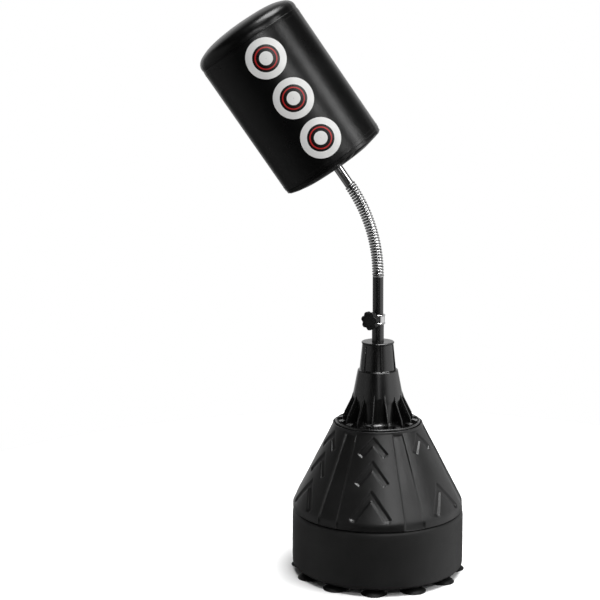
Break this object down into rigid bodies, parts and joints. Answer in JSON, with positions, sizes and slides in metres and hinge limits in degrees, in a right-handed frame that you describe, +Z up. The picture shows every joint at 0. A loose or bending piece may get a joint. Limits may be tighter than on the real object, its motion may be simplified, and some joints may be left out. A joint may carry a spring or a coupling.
{
  "type": "free-standing rebound bag",
  "caption": "Free-standing striking trainer: padded cylindrical bag on a bent coil-spring neck, telescoping mast with a knob clamp, finned collar and fillable cone base on suction cups.",
  "frame": {"origin": "centre of the tank's flat underside, on the mast's axis, 13 mm above the floor that the cups stand on", "axes": "+Z up along the mast, -Y the front, -X the side that the bag leans to as stored"},
  "size_m": [0.6869, 0.4642, 1.5025],
  "materials": {
    "tank_plastic": "satin",
    "collar_plastic": "satin",
    "small_plastic": "satin",
    "cup_rubber": "matte",
    "tube_paint": "gloss",
    "chrome": "polished",
    "spring_chrome": "polished",
    "zinc_steel": "satin",
    "foam": "matte",
    "vinyl": "gloss",
    "piping_vinyl": "gloss"
  },
  "bodies": {
    "base": {"base_tank": "tank_plastic", "suction_cup_01": "cup_rubber", "suction_cup_02": "cup_rubber", "suction_cup_03": "cup_rubber", "suction_cup_04": "cup_rubber", "suction_cup_05": "cup_rubber", "suction_cup_06": "cup_rubber", "suction_cup_07": "cup_rubber", "suction_cup_08": "cup_rubber", "suction_cup_09": "cup_rubber", "suction_cup_10": "cup_rubber", "suction_cup_11": "cup_rubber", "suction_cup_12": "cup_rubber", "neck_collar": "collar_plastic", "mast_foot_plate": "zinc_steel", "lower_tube": "tube_paint", "mast_clamp": "chrome"},
    "cap_seal": {"cap_gasket": "cup_rubber"},
    "cap": {"fill_cap": "small_plastic"},
    "clamp_feed": {"clamp_pad": "zinc_steel"},
    "knob": {"clamp_stud": "zinc_steel", "clamp_knob": "small_plastic"},
    "mast_slider": {"guide_bush": "small_plastic"},
    "mast": {"upper_tube": "tube_paint", "spring_lower_plug": "zinc_steel", "neck_spring_0": "spring_chrome"},
    "neck_1": {"neck_spring_1": "spring_chrome"},
    "neck_2": {"neck_spring_2": "spring_chrome"},
    "neck_3": {"neck_spring_3": "spring_chrome"},
    "neck_4": {"neck_spring_4": "spring_chrome"},
    "neck_5": {"neck_spring_5": "spring_chrome"},
    "neck_6": {"neck_spring_6": "spring_chrome"},
    "neck_7": {"neck_spring_7": "spring_chrome"},
    "bag": {"neck_spring_8": "spring_chrome", "spring_upper_plug": "zinc_steel", "chrome_rod": "chrome", "bag_hub": "small_plastic", "hub_bolt": "zinc_steel", "hub_nut": "zinc_steel", "foam_wall": "foam", "foam_top": "foam", "cover_side": "vinyl", "cover_top": "vinyl", "cover_bottom": "vinyl", "piping_top": "piping_vinyl", "piping_bottom": "piping_vinyl"}
  },
  "joints": [
    {"name": "cap_lift", "type": "slide", "parent": "base", "child": "cap_seal", "axis": [0.1239, 0.8815, 0.4557], "range_m": [0, 0.008]},
    {"name": "cap_turn", "type": "hinge", "parent": "cap_seal", "child": "cap", "pos_m": [0.0234, 0.16649, 0.292], "axis": [0.1239, 0.8815, 0.4557], "range_deg": [0, 720]},
    {"name": "knob_feed", "type": "slide", "parent": "base", "child": "clamp_feed", "axis": [-0.6293, -0.7771, 0], "range_m": [0, 0.0026]},
    {"name": "knob_turn", "type": "hinge", "parent": "clamp_feed", "child": "knob", "pos_m": [0, 0, 0.668], "axis": [-0.6293, -0.7771, 0], "range_deg": [0, 630]},
    {"name": "mast_height", "type": "slide", "parent": "base", "child": "mast_slider", "axis": [0, 0, 1], "range_m": [-0.085, 0.13]},
    {"name": "mast_turn", "type": "hinge", "parent": "mast_slider", "child": "mast", "pos_m": [0, 0, 0.66], "axis": [0, 0, 1], "continuous": true},
    {"name": "neck_bend_1", "type": "hinge", "parent": "mast", "child": "neck_1", "pos_m": [-0.0003, 0, 0.79935], "axis": [0, -1, 0], "range_deg": [-24.6, 7.4], "stiffness_Nm_per_rad": 240, "springref_deg": -8.6, "deforming": ["neck_spring_0", "neck_spring_1"]},
    {"name": "neck_sway_1", "type": "hinge", "parent": "neck_1", "child": "neck_2", "pos_m": [-0.00266, 0, 0.83075], "axis": [0.9937, 0, 0.1123], "range_deg": [-12, 12], "stiffness_Nm_per_rad": 240, "deforming": ["neck_spring_2"]},
    {"name": "neck_bend_2", "type": "hinge", "parent": "neck_2", "child": "neck_3", "pos_m": [-0.00737, 0, 0.86189], "axis": [0, -1, 0], "range_deg": [-24.6, 7.4], "stiffness_Nm_per_rad": 240, "springref_deg": -8.6, "deforming": ["neck_spring_3"]},
    {"name": "neck_sway_2", "type": "hinge", "parent": "neck_3", "child": "neck_4", "pos_m": [-0.0144, 0, 0.89259], "axis": [0.9657, 0, 0.2597], "range_deg": [-12, 12], "stiffness_Nm_per_rad": 240, "deforming": ["neck_spring_4"]},
    {"name": "neck_bend_3", "type": "hinge", "parent": "neck_4", "child": "neck_5", "pos_m": [-0.02371, 0, 0.92267], "axis": [0, -1, 0], "range_deg": [-24.6, 7.4], "stiffness_Nm_per_rad": 240, "springref_deg": -8.6, "deforming": ["neck_spring_5"]},
    {"name": "neck_sway_3", "type": "hinge", "parent": "neck_5", "child": "neck_6", "pos_m": [-0.03525, 0, 0.95197], "axis": [0.916, 0, 0.4012], "range_deg": [-12, 12], "stiffness_Nm_per_rad": 240, "deforming": ["neck_spring_6"]},
    {"name": "neck_bend_4", "type": "hinge", "parent": "neck_6", "child": "neck_7", "pos_m": [-0.04896, 0, 0.98033], "axis": [0, -1, 0], "range_deg": [-24.6, 7.4], "stiffness_Nm_per_rad": 240, "springref_deg": -8.6, "deforming": ["neck_spring_7"]},
    {"name": "neck_sway_4", "type": "hinge", "parent": "neck_7", "child": "bag", "pos_m": [-0.06475, 0, 1.00757], "axis": [0.8457, 0, 0.5336], "range_deg": [-12, 12], "stiffness_Nm_per_rad": 240, "deforming": ["neck_spring_8"]}
  ],
  "couplings": [
    {"joint": "cap_lift", "follows": "cap_turn", "m_per_rad": 0.00063662},
    {"joint": "knob_feed", "follows": "knob_turn", "m_per_rad": 0.00023396},
    {"joint": "neck_bend_2", "follows": "neck_bend_1", "ratio": 1},
    {"joint": "neck_sway_2", "follows": "neck_sway_1", "ratio": 1},
    {"joint": "neck_bend_3", "follows": "neck_bend_1", "ratio": 1},
    {"joint": "neck_sway_3", "follows": "neck_sway_1", "ratio": 1},
    {"joint": "neck_bend_4", "follows": "neck_bend_1", "ratio": 1},
    {"joint": "neck_sway_4", "follows": "neck_sway_1", "ratio": 1}
  ]
}
